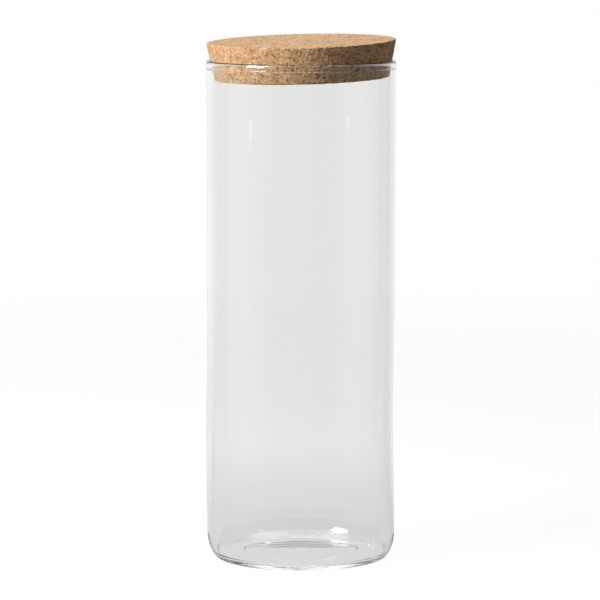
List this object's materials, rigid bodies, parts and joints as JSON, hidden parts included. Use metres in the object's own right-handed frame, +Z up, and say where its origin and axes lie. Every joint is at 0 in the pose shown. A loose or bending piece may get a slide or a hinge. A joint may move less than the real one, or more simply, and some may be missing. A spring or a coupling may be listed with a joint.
{
  "type": "storage jar with stopper",
  "caption": "Tall clear glass storage cylinder with a domed underside, closed by a tapered granular cork stopper that pulls straight up.",
  "frame": {"origin": "middle of the foot ring that the jar stands on", "axes": "+Z up the jar's axis, -Y towards the pictured front, +X to the right seen from the front"},
  "size_m": [0.1008, 0.1008, 0.2768],
  "materials": {
    "clear_glass": "clear, flame polished",
    "pressed_cork": "raw sanded cork granules"
  },
  "bodies": {
    "jar": {"glass_jar": "clear_glass"},
    "stopper": {"cork_stopper": "pressed_cork"}
  },
  "joints": [
    {"name": "stopper_lift", "type": "slide", "parent": "jar", "child": "stopper", "axis": [0, 0, 1], "range_m": [0, 0.12]}
  ]
}
